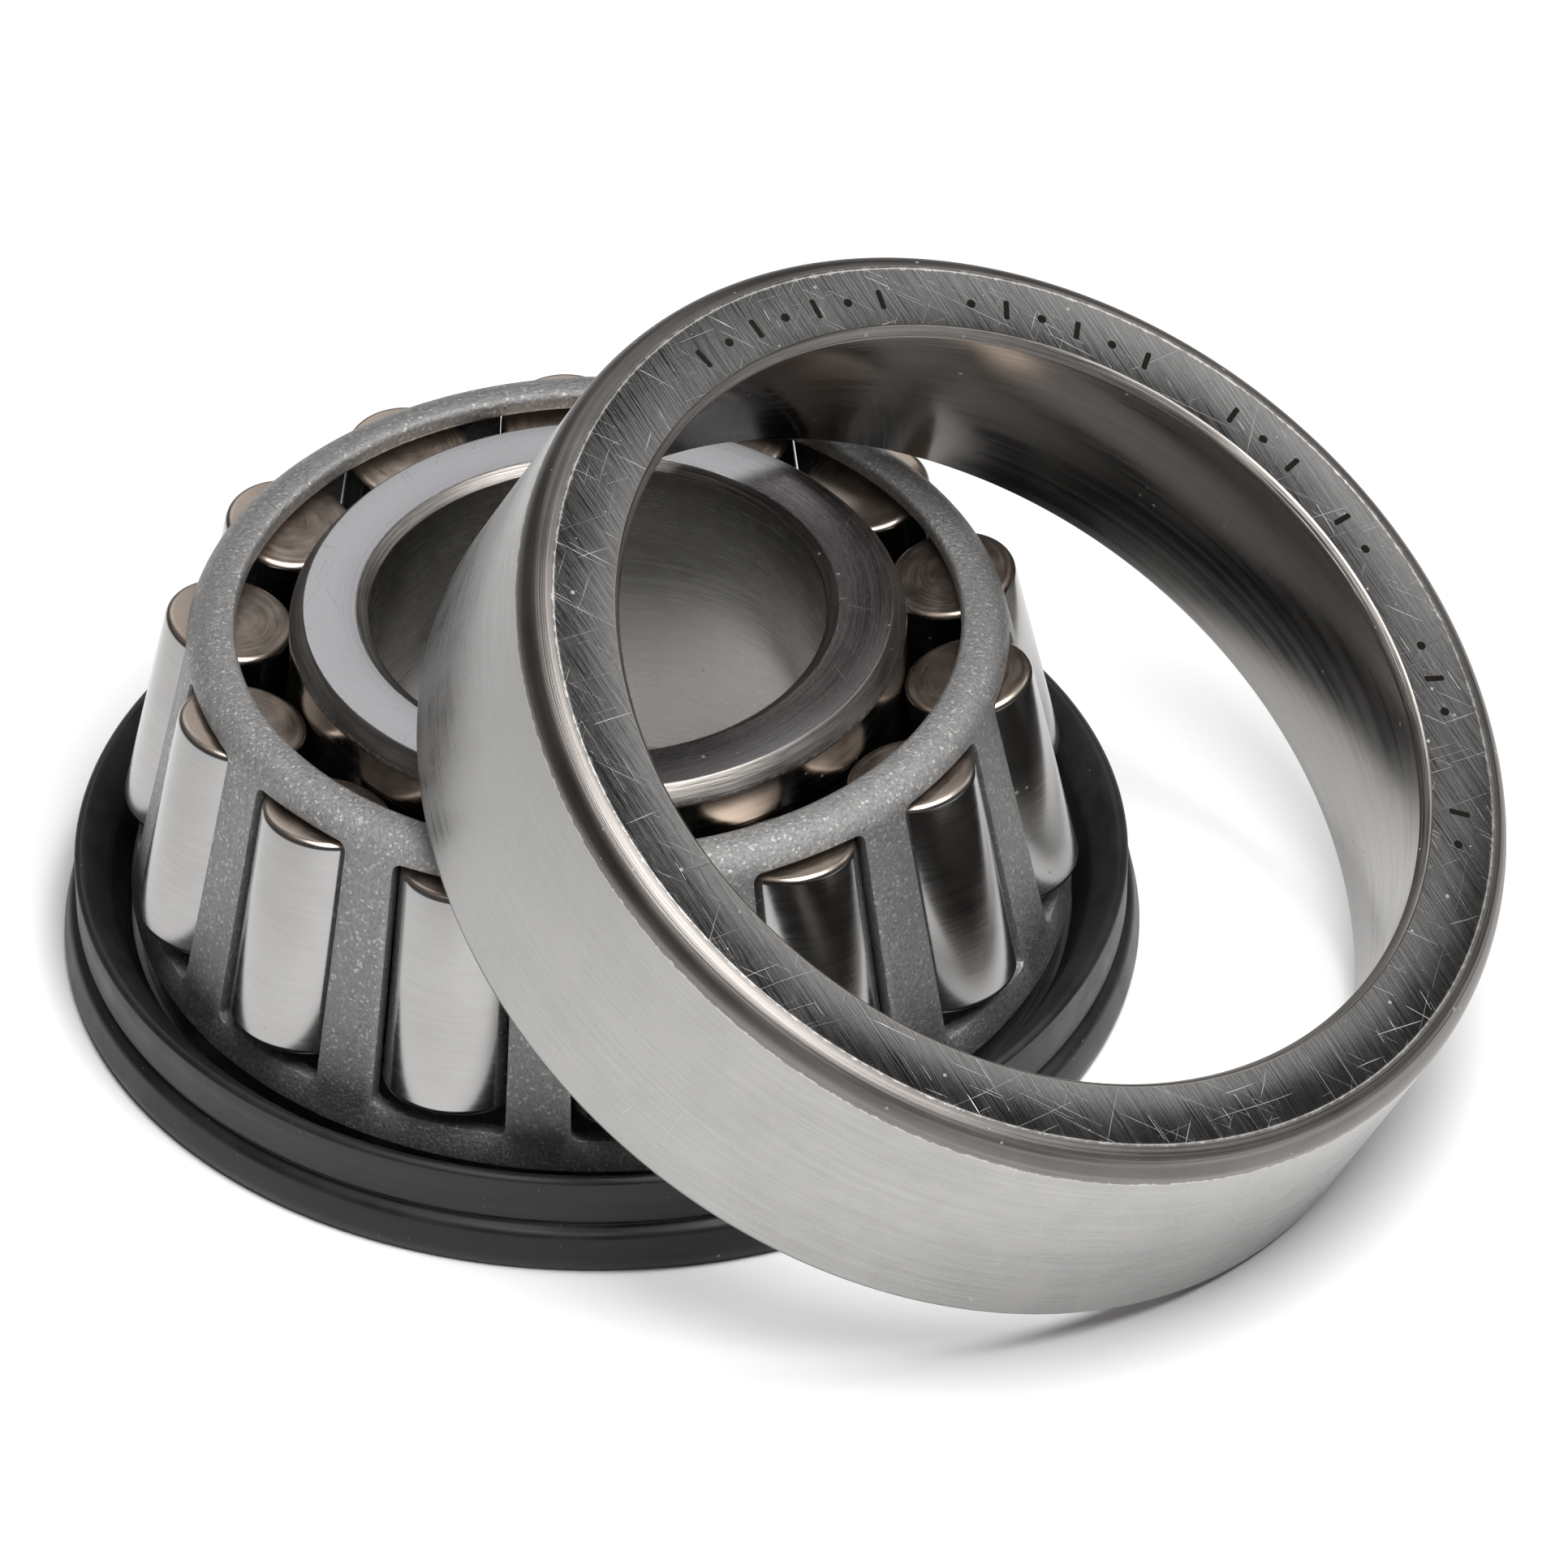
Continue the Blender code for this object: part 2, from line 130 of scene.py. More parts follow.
room = bpy.data.worlds.new("dim_room")
room.use_nodes = True
sky = room.node_tree.nodes["Background"]
sky.inputs["Color"].default_value = (ROOM_GREY, ROOM_GREY, ROOM_GREY, 1.0)
bpy.context.scene.world = room
bpy.context.scene.view_settings.view_transform = "Standard"
print("a plain white card in a dim room")

# %% [markdown]
# Four panels do the lighting. The one on top lights the card, and the card lights the steel from below.
# The one behind stands where the cone's flat front face mirrors it. The small one on the right stands
# near the direction that the cup's flat face mirrors, and so close that one side of the face catches
# more of it than the other. The one in front fills in.

# %% Soft panels
AIM_HEIGHT = 0.015


def panel(name, azimuth, elevation, distance, width, height, glow):
    """A soft box facing the bearing. Azimuth 0 is in front and 90 on the right; glow is its brightness."""
    light = bpy.data.lights.new(name, "AREA")
    light.shape = "RECTANGLE"
    light.size = width
    light.size_y = height
    light.energy = glow * math.pi * width * height
    lamp = bpy.data.objects.new(name, light)
    bpy.context.scene.collection.objects.link(lamp)
    a, e = math.radians(azimuth), math.radians(elevation)
    out = Vector((math.sin(a) * math.cos(e), -math.cos(a) * math.cos(e), math.sin(e)))
    lamp.location = Vector((0.0, 0.0, AIM_HEIGHT)) + out * distance
    lamp.rotation_mode = "QUATERNION"
    lamp.rotation_quaternion = out.to_track_quat("Z", "Y")
    return lamp


panel("back_panel", 196, 40, 0.5, 0.31, 0.25, 1.15)
panel("right_panel", 128, 37, 0.208, 0.065, 0.06, 1.9)
panel("top_panel", 36, 70, 0.31, 0.24, 0.24, 9.8)
panel("front_panel", 12, 56, 0.4, 0.17, 0.12, 2.6)
print("4 soft panels")

# %% [markdown]
# A ring is turned on a lathe, and Blender's spin does the same: half of the cut-through section goes
# round the axis. The section starts as a few corner points. Bevelling a corner point of such a wire
# rounds it, which is far shorter than working out the arc.

# %% Lathe
CUP_STEPS, RING_STEPS, CASE_STEPS, ROLLER_STEPS = 360, 288, 216, 96


def section(corners, rounds, stretch=1.0, closed=True):
    """Wire through (radius, height) corners; rounds gives corner number: (cut back, segments)."""
    bm = bmesh.new()
    points = [bm.verts.new((r, 0.0, z / stretch)) for r, z in corners]
    pairs = list(zip(points, points[1:]))
    if closed:
        pairs.append((points[-1], points[0]))
    for a, b in pairs:
        bm.edges.new((a, b))
    for index, (cut, steps) in rounds.items():
        bmesh.ops.bevel(
            bm, geom=[points[index]], offset=cut, segments=steps, profile=0.5, affect="VERTICES", material=-1
        )
    bmesh.ops.scale(bm, vec=(1.0, 1.0, stretch), verts=bm.verts[:])
    return bm


def spun(bm, steps):
    bmesh.ops.spin(
        bm,
        geom=bm.verts[:] + bm.edges[:],
        axis=(0.0, 0.0, 1.0),
        cent=(0.0, 0.0, 0.0),
        angle=2 * math.pi,
        steps=steps,
        use_merge=True,
    )
    bmesh.ops.remove_doubles(bm, verts=bm.verts[:], dist=0.0005)
    bmesh.ops.recalc_face_normals(bm, faces=bm.faces[:])
    return bm


def as_object(bm, name):
    mesh = bpy.data.meshes.new(name)
    bm.to_mesh(mesh)
    bm.free()
    made = bpy.data.objects.new(name, mesh)
    bpy.context.scene.collection.objects.link(made)
    return made


# %% [markdown]
# Tool marks run round a piece's own axis, wherever the piece lies. So each mesh remembers, in an
# attribute called in_piece, where every point was while the piece still stood on the lathe, in
# millimetres. The finishes read that attribute, and a cup that leans or turns keeps its marks.

# %% Put a piece in its place
def settle(piece, place, body, finishes, choose=None, crease=35.0):
    """Gives the finishes, notes each point's place on the lathe, moves the mesh and hands it to its body."""
    mesh = piece.data
    for finish in finishes:
        mesh.materials.append(finish)
    if choose:
        for face in mesh.polygons:
            middle = face.center
            face.material_index = choose(math.hypot(middle.x, middle.y), middle.z)
    noted = mesh.attributes.new("in_piece", "FLOAT_VECTOR", "POINT")
    for point, note in zip(mesh.vertices, noted.data):
        note.vector = point.co
    mesh.shade_smooth()
    mesh.set_sharp_from_angle(angle=math.radians(crease))
    mesh.transform(place)
    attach(piece, body)
    print(piece.name, len(mesh.polygons), "faces")
    return piece


# %% [markdown]
# Finishes are built from small node groups, each one an effect that several finishes share. A helper
# puts a node into a tree and fills or links its inputs in one line, so the recipe stays readable.

# %% Node helpers
def put(tree, kind, into=None, **props):
    """Adds a node. into maps an input's name or number to a value or to another node's output."""
    made = tree.nodes.new("ShaderNode" + kind)
    for name, value in props.items():
        setattr(made, name, value)
    for key, value in (into or {}).items():
        if isinstance(value, bpy.types.NodeSocket):
            tree.links.new(value, made.inputs[key])
        else:
            made.inputs[key].default_value = value
    return made


def sums(tree, operation, *values, clamp=False):
    into = dict(enumerate(values))
    return put(tree, "Math", into, operation=operation, use_clamp=clamp).outputs[0]


def ramp(tree, value, low, high, to_low=0.0, to_high=1.0):
    into = {"Value": value, "From Min": low, "From Max": high, "To Min": to_low, "To Max": to_high}
    return put(tree, "MapRange", into, interpolation_type="SMOOTHSTEP").outputs[0]


def tint(tree, share, first, second):
    into = {0: share, 6: first, 7: second}
    return put(tree, "Mix", into, data_type="RGBA", clamp_factor=True).outputs[2]


def effect(name, inputs, outputs):
    """An empty node group: inputs maps a name to (kind, default)."""
    tree = bpy.data.node_groups.new(name, "ShaderNodeTree")
    for label, (kind, value) in inputs.items():
        socket = tree.interface.new_socket(name=label, in_out="INPUT", socket_type="NodeSocket" + kind)
        if value is not None:
            socket.default_value = value
    for label, kind in outputs.items():
        tree.interface.new_socket(name=label, in_out="OUTPUT", socket_type="NodeSocket" + kind)
    return tree, tree.nodes.new("NodeGroupInput").outputs, tree.nodes.new("NodeGroupOutput")


def use(tree, group, into=None):
    made = tree.nodes.new("ShaderNodeGroup")
    made.node_tree = group
    for key, value in (into or {}).items():
        if isinstance(value, bpy.types.NodeSocket):
            tree.links.new(value, made.inputs[key])
        else:
            made.inputs[key].default_value = value
    return made.outputs


# %% [markdown]
# The first group turns the noted point into what a turner would say: how far from the axis, how far
# along it, and how far round. The others draw with those three.

# %% Group: where on the lathe
def make_lathe_place():
    tree, _, out = effect(
        "lathe_place", {}, {"Point": "Vector", "Radius": "Float", "Height": "Float", "Turn": "Float"}
    )
    point = put(tree, "Attribute", attribute_name="in_piece").outputs["Vector"]
    parts = put(tree, "SeparateXYZ", {0: point}).outputs
    flat = put(tree, "CombineXYZ", {0: parts[0], 1: parts[1]}).outputs[0]
    tree.links.new(point, out.inputs["Point"])
    length = put(tree, "VectorMath", {0: flat}, operation="LENGTH").outputs["Value"]
    tree.links.new(length, out.inputs["Radius"])
    tree.links.new(parts[2], out.inputs["Height"])
    tree.links.new(sums(tree, "ARCTAN2", parts[1], parts[0]), out.inputs["Turn"])
    return tree


lathe_place = make_lathe_place()
print("made the group", lathe_place.name)

# %% [markdown]
# Tool lines are grooves that run all the way round. Noise that is stretched far round the axis and
# squeezed across it gives lines of uneven depth that come and go, as a worn cutter or a grinding
# wheel leaves them. The cosine and sine of the turn keep the two ends of the circle joined.

# %% Group: tool lines
def make_tool_lines():
    tree, given, out = effect(
        "tool_lines", {"Fineness": ("Float", 8.0), "Run": ("Float", 1.0)}, {"Lines": "Float"}
    )
    place = use(tree, lathe_place)
    across = sums(tree, "ADD", place["Radius"], place["Height"])
    drop = sums(tree, "MULTIPLY", sums(tree, "SUBTRACT", place["Radius"], place["Height"]), 0.37)
    ring = put(
        tree,
        "CombineXYZ",
        {
            0: sums(tree, "MULTIPLY", sums(tree, "COSINE", place["Turn"]), given["Run"]),
            1: sums(tree, "MULTIPLY", sums(tree, "SINE", place["Turn"]), given["Run"]),
            2: sums(tree, "MULTIPLY", sums(tree, "ADD", across, drop), given["Fineness"]),
        },
    ).outputs[0]
    fine = put(tree, "TexNoise", {"Vector": ring, "Scale": 1.0, "Detail": 3.0, "Roughness": 0.65})
    tree.links.new(ramp(tree, fine.outputs[0], 0.3, 0.7), out.inputs["Lines"])
    return tree


tool_lines = make_tool_lines()
print("made the group", tool_lines.name)

# %% [markdown]
# A surface grinder passes straight over a face instead, so its lines lie side by side across the
# whole ring. Handling adds scratches of its own: thin, long, straight, at every angle and far apart.
# Both are stretched noise; a scratch is only the highest crest of it.

# %% Groups: straight grinding and scratches
def stretched(tree, point, angle, length, width, seed):
    """Noise drawn out along a direction: length and width in millimetres."""
    turned = put(tree, "VectorRotate", {"Vector": point, "Angle": angle}, rotation_type="Z_AXIS").outputs[0]
    scale = put(
        tree,
        "CombineXYZ",
        {0: sums(tree, "DIVIDE", 1.0, length), 1: sums(tree, "DIVIDE", 1.0, width), 2: 0.15},
    ).outputs[0]
    drawn = put(tree, "VectorMath", {0: turned, 1: scale}, operation="MULTIPLY").outputs[0]
    return put(tree, "VectorMath", {0: drawn, 1: seed}, operation="ADD").outputs[0]


def make_grinding():
    tree, given, out = effect(
        "grinding",
        {"Angle": ("Float", 0.0), "Length": ("Float", 6.0), "Width": ("Float", 0.12)},
        {"Lines": "Float"},
    )
    point = use(tree, lathe_place)["Point"]
    drawn = stretched(tree, point, given["Angle"], given["Length"], given["Width"], (3.1, 7.7, 1.3))
    lines = put(tree, "TexNoise", {"Vector": drawn, "Scale": 1.0, "Detail": 3.0, "Roughness": 0.7})
    tree.links.new(ramp(tree, lines.outputs[0], 0.3, 0.7), out.inputs["Lines"])
    return tree


def make_scratches():
    tree, given, out = effect(
        "scratches",
        {
            "Amount": ("Float", 0.5),
            "Length": ("Float", 5.0),
            "Width": ("Float", 0.06),
            "Seed": ("Vector", None),
        },
        {"Scratches": "Float"},
    )
    point = use(tree, lathe_place)["Point"]
    bent = put(tree, "TexNoise", {"Vector": point, "Scale": 0.08, "Detail": 1.0}).outputs["Color"]
    bent = put(tree, "VectorMath", {0: bent, "Scale": 1.6}, operation="SCALE").outputs[0]
    point = put(tree, "VectorMath", {0: point, 1: bent}, operation="ADD").outputs[0]
    total = 0.0
    for number, angle in enumerate((0.35, 1.15, 1.9, 2.75)):
        away = (4.7 * number, 2.9 * number, 9.1 * number)
        seed = put(tree, "VectorMath", {0: given["Seed"], 1: away}, operation="ADD").outputs[0]
        drawn = stretched(tree, point, angle, given["Length"], given["Width"], seed)
        crest = put(tree, "TexNoise", {"Vector": drawn, "Scale": 1.0, "Detail": 1.0}).outputs[0]
        low = sums(tree, "SUBTRACT", 0.8, sums(tree, "MULTIPLY", given["Amount"], 0.12))
        line = ramp(tree, crest, low, sums(tree, "ADD", low, 0.05))
        total = sums(tree, "MAXIMUM", total, line)
    tree.links.new(total, out.inputs["Scratches"])
    return tree


grinding = make_grinding()
scratches = make_scratches()
print("made the groups", grinding.name, "and", scratches.name)

# %% [markdown]
# Oil film and handling leave soft patches of slightly different tone, and dust settles in separate
# specks. Patches are large smooth noise; specks are the cores of Voronoi cells, most of them left out.

# %% Groups: patches and dust
def make_patches():
    tree, given, out = effect("patches", {"Size": ("Float", 6.0)}, {"Tone": "Float"})
    point = use(tree, lathe_place)["Point"]
    scale = sums(tree, "DIVIDE", 1.0, given["Size"])
    cloud = put(tree, "TexNoise", {"Vector": point, "Scale": scale, "Detail": 4.0, "Roughness": 0.6})
    tree.links.new(ramp(tree, cloud.outputs[0], 0.3, 0.7), out.inputs["Tone"])
    return tree


def make_dust():
    tree, given, out = effect(
        "dust",
        {"Spacing": ("Float", 0.8), "Size": ("Float", 0.08), "Share": ("Float", 0.3)},
        {"Specks": "Float"},
    )
    point = use(tree, lathe_place)["Point"]
    scale = sums(tree, "DIVIDE", 1.0, given["Spacing"])
    cells = put(tree, "TexVoronoi", {"Vector": point, "Scale": scale, "Randomness": 1.0})
    pick = put(tree, "SeparateColor", {0: cells.outputs["Color"]}).outputs
    kept = sums(tree, "LESS_THAN", pick[0], given["Share"])
    size = sums(tree, "DIVIDE", given["Size"], given["Spacing"])
    size = sums(tree, "MULTIPLY", size, sums(tree, "ADD", pick[1], 0.4))
    core = sums(tree, "LESS_THAN", cells.outputs["Distance"], size)
    tree.links.new(sums(tree, "MULTIPLY", core, kept), out.inputs["Specks"])
    return tree


patches = make_patches()
dust = make_dust()
print("made the groups", patches.name, "and", dust.name)

# %% [markdown]
# Where two faces meet, handling rubs the corner bright and knocks small nicks into it. The group takes
# the radius of such a corner and gives a thin broken line of light along it.

# %% Group: rubbed edge
def make_rubbed_edge():
    tree, given, out = effect(
        "rubbed_edge",
        {
            "Radius": ("Float", 10.0),
            "Height": ("Float", 0.0),
            "Width": ("Float", 0.15),
            "Broken": ("Float", 0.5),
        },
        {"Edge": "Float"},
    )
    place = use(tree, lathe_place)
    off = sums(tree, "SUBTRACT", place["Radius"], given["Radius"])
    along = sums(tree, "SUBTRACT", place["Height"], given["Height"])
    squares = sums(tree, "MULTIPLY", off, off), sums(tree, "MULTIPLY", along, along)
    far = sums(tree, "SQRT", sums(tree, "ADD", *squares))
    chips = put(tree, "TexNoise", {"Vector": place["Point"], "Scale": 2.2, "Detail": 4.0, "Roughness": 0.7})
    ragged = ramp(tree, chips.outputs[0], sums(tree, "MULTIPLY", given["Broken"], 0.75), 0.75)
    width = sums(tree, "MULTIPLY", given["Width"], sums(tree, "ADD", ragged, 0.15))
    near = sums(tree, "SUBTRACT", 1.0, sums(tree, "DIVIDE", far, width), clamp=True)
    tree.links.new(near, out.inputs["Edge"])
    return tree


rubbed_edge = make_rubbed_edge()
print(len(bpy.data.node_groups), "node groups")

# %% [markdown]
# All the steel finishes are one recipe with different amounts: two tones mixed by lines and patches,
# a roughness that the same lines disturb, and a bump that makes them real grooves. What differs is how
# the surface was cut, so that is what the recipe asks for.

# %% Recipe for machined steel
# The first colour is a painted highlight that scratches get for the light they catch; the scratches
# themselves are real marks.
SCRATCH_PAINTED_HIGHLIGHT = (0.75, 0.74, 0.73, 1.0)
RUBBED_BRIGHT = (0.72, 0.71, 0.69, 1.0)
DUST_GREY = (0.55, 0.54, 0.52, 1.0)
GROOVE_DISTANCE = 0.00001


def machined(
    name,
    bright,
    dark,
    roughness,
    fineness=8.0,
    run=1.5,
    lines=0.5,
    depth=0.3,
    straight=None,
    patch=6.0,
    patch_share=0.5,
    scratch=0.0,
    scratch_size=(5.0, 0.06),
    specks=0.1,
    grain=0.0,
    edges=(),
    metallic=1.0,
    spread=0.15,
):
    made = bpy.data.materials.new(name)
    made.use_nodes = True
    tree = made.node_tree
    shader = tree.nodes["Principled BSDF"]
    shader.inputs["Metallic"].default_value = metallic

    marks = use(tree, tool_lines, {"Fineness": fineness, "Run": run})
    groove = marks["Lines"]
    if straight:
        angle, length, width = straight
        groove = use(tree, grinding, {"Angle": angle, "Length": length, "Width": width})["Lines"]
    cloud = use(tree, patches, {"Size": patch})["Tone"]
    settled = use(tree, dust, {"Share": specks})["Specks"]

    cloudy = sums(tree, "ADD", sums(tree, "MULTIPLY", cloud, patch_share), 1 - patch_share)
    share = sums(
        tree,
        "ADD",
        sums(tree, "MULTIPLY", groove, lines),
        sums(tree, "MULTIPLY", cloudy, 1 - lines),
    )
    colour = tint(tree, share, (*dark, 1.0), (*bright, 1.0))
    rough = sums(tree, "ADD", roughness - spread / 2, sums(tree, "MULTIPLY", groove, spread * 0.6))
    rough = sums(tree, "ADD", rough, sums(tree, "MULTIPLY", cloud, spread * 0.4))
    height = sums(tree, "MULTIPLY", groove, depth)

    if grain:
        pits = put(
            tree,
            "TexNoise",
            {"Vector": use(tree, lathe_place)["Point"], "Scale": 9.0, "Detail": 3.0, "Roughness": 0.7},
        ).outputs[0]
        height = sums(tree, "ADD", height, sums(tree, "MULTIPLY", pits, grain))
    if scratch:
        long, thin = scratch_size
        for seed, length, width in (((0, 0, 0), long, thin), ((31, 17, 5), long * 2, thin * 0.6)):
            asked = {"Amount": scratch, "Length": length, "Width": width, "Seed": seed}
            cut = use(tree, scratches, asked)["Scratches"]
            # the scratches are real marks; their lighter colour is a painted highlight for the light they
            # catch
            colour = tint(tree, sums(tree, "MULTIPLY", cut, 0.75), colour, SCRATCH_PAINTED_HIGHLIGHT)
            rough = sums(tree, "ADD", rough, sums(tree, "MULTIPLY", cut, 0.3))
            height = sums(tree, "SUBTRACT", height, sums(tree, "MULTIPLY", cut, 0.8))
    for radius, at, width in edges:
        rubbed = use(tree, rubbed_edge, {"Radius": radius, "Height": at, "Width": width})["Edge"]
        colour = tint(tree, sums(tree, "MULTIPLY", rubbed, 0.8), colour, RUBBED_BRIGHT)
    colour = tint(tree, sums(tree, "MULTIPLY", settled, 0.6), colour, DUST_GREY)
    rough = sums(tree, "ADD", rough, sums(tree, "MULTIPLY", settled, 0.3), clamp=True)

    bump = put(tree, "Bump", {"Strength": 1.0, "Distance": GROOVE_DISTANCE, "Height": height}).outputs[0]
    tree.links.new(colour, shader.inputs["Base Color"])
    tree.links.new(rough, shader.inputs["Roughness"])
    tree.links.new(bump, shader.inputs["Normal"])
    return made


# %% [markdown]
# The bearing's own finishes. The cup's back face is surface ground and scratched by handling, its big
# rounded corner is only turned and dark from hardening, its outside is ground to a satin and its
# raceway is honed smooth. The cone repeats these with a face ground round its axis.

# %% Finishes of the rings
CUP_OUTSIDE = 25.0025
CUP_FACE_OUTER = 23.7325
CUP_SMALL = 20.15
CONE_HEIGHT = 18.288

cup_face_finish = machined(
    "ground_cup_face",
    bright=(0.22, 0.217, 0.213),
    dark=(0.072, 0.07, 0.068),
    roughness=0.17,
    straight=(0.31, 6.0, 0.1),
    lines=0.5,
    depth=0.3,
    scratch=0.37,
    scratch_size=(5.0, 0.07),
    specks=0.22,
    edges=((CUP_FACE_OUTER, 0.0, 0.16), (CUP_SMALL + 0.45, 0.0, 0.1)),
)
cup_corner_finish = machined(
    "turned_cup_corner",
    bright=(0.25, 0.233, 0.22),
    dark=(0.075, 0.067, 0.061),
    roughness=0.42,
    fineness=5.0,
    run=0.5,
    lines=0.6,
    depth=1.4,
    specks=0.3,
    grain=0.5,
    edges=((CUP_FACE_OUTER, 0.0, 0.2), (CUP_OUTSIDE, -1.58, 0.22)),
)
cup_outside_finish = machined(
    "ground_cup_outside",
    bright=(0.39, 0.384, 0.375),
    dark=(0.28, 0.274, 0.268),
    roughness=0.3,
    fineness=7.0,
    run=3.0,
    lines=0.4,
    depth=0.12,
    patch=3.0,
    specks=0.12,
    scratch=0.06,
    scratch_size=(4.0, 0.05),
)
raceway_finish = machined(
    "honed_raceway",
    bright=(0.29, 0.273, 0.255),
    dark=(0.17, 0.158, 0.146),
    roughness=0.2,
    fineness=6.0,
    run=0.6,
    lines=0.5,
    depth=0.12,
    patch=9.0,
    specks=0.1,
)
cone_face_finish = machined(
    "ground_cone_face",
    bright=(0.42, 0.415, 0.43),
    dark=(0.31, 0.306, 0.318),
    roughness=0.27,
    fineness=7.0,
    run=1.2,
    lines=0.45,
    depth=0.15,
    patch=8.0,
    specks=0.14,
    scratch=0.15,
    edges=((13.8, CONE_HEIGHT, 0.12), (11.295, CONE_HEIGHT, 0.12)),
)
cone_corner_finish = machined(
    "turned_cone_corner",
    bright=(0.3, 0.28, 0.26),
    dark=(0.1, 0.09, 0.085),
    roughness=0.4,
    fineness=5.5,
    run=2.0,
    lines=0.65,
    depth=1.2,
    specks=0.2,
    edges=((14.47, 17.44, 0.14),),
)
bore_finish = machined(
    "ground_bore",
    bright=(0.42, 0.407, 0.39),
    dark=(0.28, 0.271, 0.258),
    roughness=0.26,
    fineness=9.0,
    run=1.6,
    lines=0.25,
    depth=0.06,
    patch=7.0,
    specks=0.1,
)
roller_finish = machined(
    "superfinished_roller",
    bright=(0.4, 0.394, 0.388),
    dark=(0.3, 0.294, 0.288),
    roughness=0.18,
    fineness=11.0,
    run=0.8,
    lines=0.3,
    depth=0.04,
    patch=5.0,
    specks=0.08,
    spread=0.08,
)
roller_end_finish = machined(
    "tumbled_roller_end",
    bright=(0.5, 0.42, 0.36),
    dark=(0.34, 0.28, 0.235),
    roughness=0.34,
    fineness=4.0,
    run=1.0,
    lines=0.3,
    depth=0.1,
    patch=1.2,
    specks=0.2,
)
case_finish = machined(
    "pressed_case_steel",
    bright=(0.3, 0.3, 0.3),
    dark=(0.17, 0.17, 0.17),
    roughness=0.4,
    lines=0.4,
    depth=0.4,
    grain=0.6,
    specks=0.2,
)

# %% [markdown]
# The cage is pressed from sheet and phosphated. Phosphate is a felt of tiny grey crystals: the sheet
# looks like fine dark sandpaper. Its sparkle is a painted glint: random crystals get a lighter colour.

# %% Finish of the cage
CRYSTAL_DISTANCE = 0.000055


def make_phosphate():
    made = bpy.data.materials.new("phosphated_sheet")
    made.use_nodes = True
    tree = made.node_tree
    shader = tree.nodes["Principled BSDF"]
    shader.inputs["Metallic"].default_value = 0.9
    point = use(tree, lathe_place)["Point"]
    crystals = put(tree, "TexVoronoi", {"Vector": point, "Scale": 7.5, "Randomness": 1.0})
    facing = put(tree, "SeparateColor", {0: crystals.outputs["Color"]}).outputs
    felt = put(tree, "TexNoise", {"Vector": point, "Scale": 5.0, "Detail": 5.0, "Roughness": 0.75}).outputs[0]
    cloud = use(tree, patches, {"Size": 5.0})["Tone"]
    base = tint(tree, ramp(tree, felt, 0.3, 0.7), (0.23, 0.227, 0.224, 1.0), (0.41, 0.406, 0.4, 1.0))
    base = tint(tree, sums(tree, "MULTIPLY", cloud, 0.3), base, (0.26, 0.256, 0.25, 1.0))
    # painted glint: random crystals are made lighter in colour, whichever way they face
    painted_glint = ramp(tree, facing[0], 0.86, 1.0)
    base = tint(tree, sums(tree, "MULTIPLY", painted_glint, 0.6), base, (0.7, 0.69, 0.68, 1.0))
    settled = use(tree, dust, {"Spacing": 1.1, "Size": 0.07, "Share": 0.2})["Specks"]
    base = tint(tree, sums(tree, "MULTIPLY", settled, 0.6), base, (0.6, 0.59, 0.57, 1.0))
    rough = sums(tree, "ADD", 0.34, sums(tree, "MULTIPLY", felt, 0.24))
    rough = sums(tree, "SUBTRACT", rough, sums(tree, "MULTIPLY", painted_glint, 0.12))
    height = sums(tree, "ADD", sums(tree, "MULTIPLY", felt, 1.6), sums(tree, "MULTIPLY", facing[1], 0.5))
    bump = put(tree, "Bump", {"Strength": 1.0, "Distance": CRYSTAL_DISTANCE, "Height": height}).outputs[0]
    tree.links.new(base, shader.inputs["Base Color"])
    tree.links.new(rough, shader.inputs["Roughness"])
    tree.links.new(bump, shader.inputs["Normal"])
    return made


cage_finish = make_phosphate()
print("made the finish", cage_finish.name)

# %% [markdown]
# The seal is moulded from black nitrile rubber. It is matt with a soft sheen, carries faint flow lines
# from the mould, and being slightly tacky it gathers more dust than the steel does.

# %% Finish of the rubber, and of the etched marks
def make_rubber():
    made = bpy.data.materials.new("moulded_rubber")
    made.use_nodes = True
    tree = made.node_tree
    shader = tree.nodes["Principled BSDF"]
    shader.inputs["Specular IOR Level"].default_value = 0.45
    flow = use(tree, tool_lines, {"Fineness": 2.5, "Run": 1.2})["Lines"]
    cloud = use(tree, patches, {"Size": 3.5})["Tone"]
    point = use(tree, lathe_place)["Point"]
    skin = put(tree, "TexNoise", {"Vector": point, "Scale": 8.0, "Detail": 4.0, "Roughness": 0.7}).outputs[0]
    base = tint(tree, cloud, (0.005, 0.005, 0.0054, 1.0), (0.011, 0.011, 0.0114, 1.0))
    for spacing, size, share in ((1.3, 0.07, 0.3), (0.5, 0.028, 0.3)):
        settled = use(tree, dust, {"Spacing": spacing, "Size": size, "Share": share})["Specks"]
        base = tint(tree, sums(tree, "MULTIPLY", settled, 0.5), base, (0.28, 0.27, 0.26, 1.0))
    rough = sums(tree, "ADD", sums(tree, "MULTIPLY", cloud, 0.12), sums(tree, "MULTIPLY", flow, 0.08))
    rough = sums(tree, "ADD", rough, 0.36)
    height = sums(tree, "ADD", sums(tree, "MULTIPLY", flow, 0.5), sums(tree, "MULTIPLY", skin, 0.8))
    bump = put(tree, "Bump", {"Strength": 0.8, "Distance": GROOVE_DISTANCE, "Height": height}).outputs[0]
    tree.links.new(base, shader.inputs["Base Color"])
    tree.links.new(rough, shader.inputs["Roughness"])
    tree.links.new(bump, shader.inputs["Normal"])
    return made


rubber_finish = make_rubber()
etched_finish = machined(
    "etched_black", (0.02, 0.018, 0.016), (0.008, 0.007, 0.006), 0.6, lines=0.2, depth=0.3, grain=1.0
)
print(len(bpy.data.materials), "finishes")

# %% [markdown]
# All the tapers of the bearing meet in one point on its axis, so a few angles set every slope. The
# numbers below are the bearing's own sizes in millimetres, with heights from the cone's back face.

